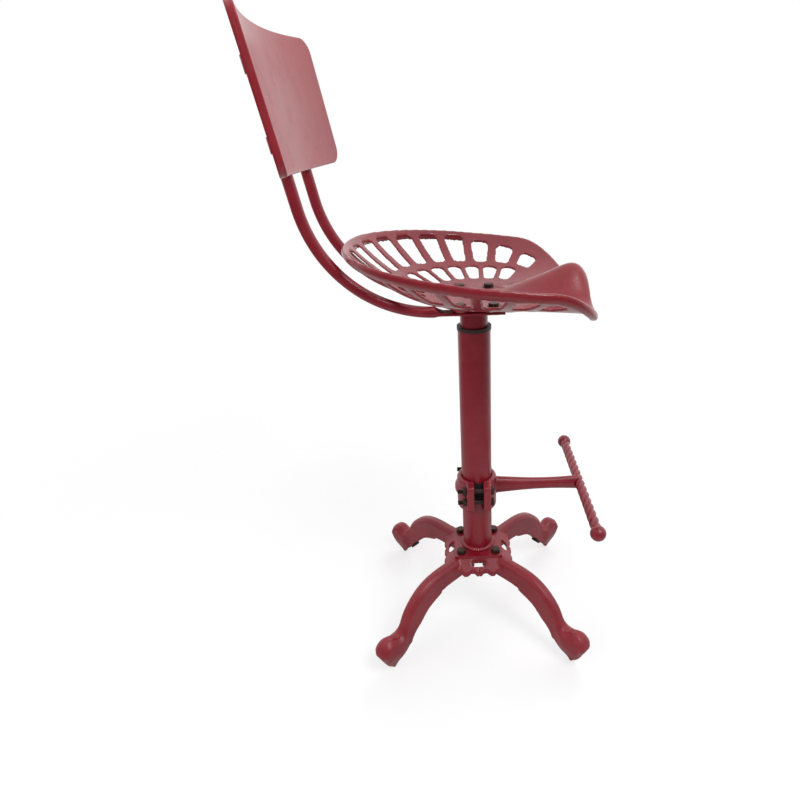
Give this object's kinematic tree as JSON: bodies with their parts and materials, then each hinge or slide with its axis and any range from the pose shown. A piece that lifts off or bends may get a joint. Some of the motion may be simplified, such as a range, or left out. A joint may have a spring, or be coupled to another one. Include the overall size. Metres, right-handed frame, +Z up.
{
  "type": "tractor seat stool",
  "caption": "Screw-lift swivel stool with a pierced cast tractor seat, a curved sheet back on bent tubes, a round column on cast legs and a clamped footrest",
  "frame": {"origin": "on the floor, on the column's axis", "axes": "X to the front of the seat and footrest, Y to the sitter's left, Z up"},
  "size_m": [0.4639, 0.4064, 0.9422],
  "materials": {
    "leg_paint": "red enamel over a sand casting, satin, worn lighter on the toes",
    "tube_paint": "smooth red enamel, semi-gloss",
    "seat_paint": "red enamel over a sand casting, semi-gloss",
    "panel_paint": "red enamel on pressed sheet, semi-gloss",
    "footrest_paint": "red enamel over a casting, semi-gloss",
    "dark_fastener": "blackened steel",
    "rivet_steel": "painted over with the panel",
    "screw_steel": "machined steel, greased",
    "bronze": "turned bronze",
    "bushing": "black moulded bushing",
    "nylon": "natural nylon",
    "liner": "black strip",
    "rubber": "black rubber"
  },
  "bodies": {
    "column": {"leg_front_left": "leg_paint", "leg_front_right": "leg_paint", "leg_rear_left": "leg_paint", "leg_rear_right": "leg_paint", "leg_bumpers": "rubber", "column_flange": "tube_paint", "column_weld": "tube_paint", "column_tube": "tube_paint", "base_bolts": "dark_fastener", "base_washers": "dark_fastener", "base_nuts": "dark_fastener", "screw_anchor": "screw_steel", "lead_screw": "screw_steel", "screw_stop": "screw_steel", "column_bushing": "bushing"},
    "guide": {"post_guide_ring": "nylon"},
    "seat": {"lift_nut": "bronze", "seat_post": "tube_paint", "seat_plate": "tube_paint", "seat_pan": "seat_paint", "seat_bolts": "dark_fastener", "seat_washers": "dark_fastener", "back_tube_left": "tube_paint", "back_tube_right": "tube_paint", "tube_caps": "rubber", "back_panel": "panel_paint", "panel_saddles": "tube_paint", "saddle_rivets": "rivet_steel"},
    "liner": {"clamp_liner": "liner"},
    "footrest": {"clamp_front": "footrest_paint", "clamp_rear": "footrest_paint", "footrest_bar": "footrest_paint", "clamp_bolts": "dark_fastener", "clamp_nuts": "dark_fastener"}
  },
  "joints": [
    {"name": "seat_lift", "type": "slide", "parent": "column", "child": "guide", "axis": [0, 0, 1], "range_m": [0, 0.15]},
    {"name": "seat_turn", "type": "hinge", "parent": "guide", "child": "seat", "pos_m": [0, 0, 0.2893], "axis": [0, 0, 1], "range_deg": [0, 10800]},
    {"name": "footrest_slide", "type": "slide", "parent": "column", "child": "liner", "axis": [0, 0, 1], "range_m": [-0.072, 0.25]},
    {"name": "footrest_swing", "type": "hinge", "parent": "liner", "child": "footrest", "pos_m": [0, 0, 0.249], "axis": [0, 0, 1], "continuous": true}
  ],
  "couplings": [
    {"joint": "seat_lift", "follows": "seat_turn", "m_per_rad": 0.00079577}
  ]
}
